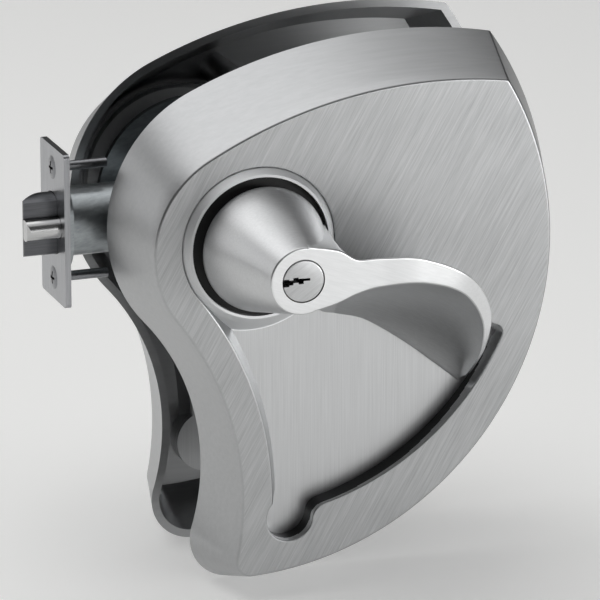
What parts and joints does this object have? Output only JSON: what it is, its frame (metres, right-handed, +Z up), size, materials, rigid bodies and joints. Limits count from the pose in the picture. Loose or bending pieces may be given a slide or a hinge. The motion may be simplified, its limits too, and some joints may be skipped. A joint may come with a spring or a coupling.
{
  "type": "cylindrical lockset",
  "caption": "Cylindrical lever lockset: drafted shield trim on both door faces with a hand pocket under a swept lever, keyed outside, and a deadlatching spring latch.",
  "frame": {"origin": "spindle axis at the middle of the door thickness", "axes": "-Y to the outside of the door along the spindle, +X from the latch edge along the lever, +Z up"},
  "size_m": [0.1953, 0.199, 0.2013],
  "materials": {
    "satin_steel": "satin brushed",
    "brushed_floor": "straight brushed",
    "black_nylon": "matte",
    "plated_steel": "zinc plated",
    "spring_steel": "bare",
    "brass": "machined",
    "polished_steel": "polished",
    "bolt_steel": "satin"
  },
  "bodies": {
    "chassis": {"outside_escutcheon": "satin_steel", "outside_pocket_pan": "brushed_floor", "outside_hub_bushing": "black_nylon", "outside_mounting_plate": "plated_steel", "outside_return_spring": "spring_steel", "outside_chassis_cap": "plated_steel", "inside_escutcheon": "satin_steel", "inside_pocket_pan": "brushed_floor", "inside_hub_bushing": "black_nylon", "inside_mounting_plate": "plated_steel", "inside_return_spring": "spring_steel", "inside_chassis_cap": "plated_steel", "chassis_housing": "plated_steel", "trim_bolts": "plated_steel", "chassis_bolts": "plated_steel", "retractor_springs": "spring_steel", "faceplate": "bolt_steel", "faceplate_screws": "bolt_steel", "latch_backplate": "plated_steel", "latch_tube": "plated_steel", "latch_end_plug": "plated_steel", "latch_spring": "spring_steel"},
    "outside_lever": {"outside_lever": "satin_steel", "outside_spindle": "plated_steel", "outside_retaining_ring": "plated_steel", "outside_set_screw": "plated_steel", "key_cylinder": "brass"},
    "key_plug": {"key_plug": "polished_steel", "tailpiece": "brass"},
    "inside_lever": {"inside_lever": "satin_steel", "inside_spindle": "plated_steel", "inside_retaining_ring": "plated_steel", "inside_set_screw": "plated_steel"},
    "retractor": {"retractor": "plated_steel"},
    "latch_bolt": {"latch_bolt": "bolt_steel", "latch_tail": "plated_steel", "plunger_spring": "spring_steel"},
    "deadlatch_plunger": {"deadlatch_plunger": "polished_steel"}
  },
  "joints": [
    {"name": "outside_lever_turn", "type": "hinge", "parent": "chassis", "child": "outside_lever", "pos_m": [0, -0.05, 0], "axis": [0, 1, 0], "range_deg": [0, 45], "stiffness_Nm_per_rad": 1.5, "springref_deg": -28.65},
    {"name": "inside_lever_turn", "type": "hinge", "parent": "chassis", "child": "inside_lever", "pos_m": [0, 0.05, 0], "axis": [0, 1, 0], "range_deg": [0, 45], "stiffness_Nm_per_rad": 1.5, "springref_deg": -28.65},
    {"name": "key_turn", "type": "hinge", "parent": "outside_lever", "child": "key_plug", "pos_m": [0, -0.09, 0], "axis": [0, 1, 0], "range_deg": [0, 90]},
    {"name": "retractor_slide", "type": "slide", "parent": "chassis", "child": "retractor", "axis": [1, 0, 0], "range_m": [0, 0.0127], "deforming": ["retractor_springs"]},
    {"name": "latch_bolt_slide", "type": "slide", "parent": "chassis", "child": "latch_bolt", "axis": [1, 0, 0], "range_m": [0, 0.0127], "deforming": ["latch_spring"]},
    {"name": "plunger_slide", "type": "slide", "parent": "latch_bolt", "child": "deadlatch_plunger", "axis": [1, 0, 0], "range_m": [0, 0.01], "stiffness_N_per_m": 120, "springref_m": -0.01, "deforming": ["plunger_spring"]}
  ],
  "couplings": [
    {"joint": "retractor_slide", "follows": "outside_lever_turn", "m_per_rad": 0.01617},
    {"joint": "latch_bolt_slide", "follows": "outside_lever_turn", "m_per_rad": 0.01617}
  ]
}
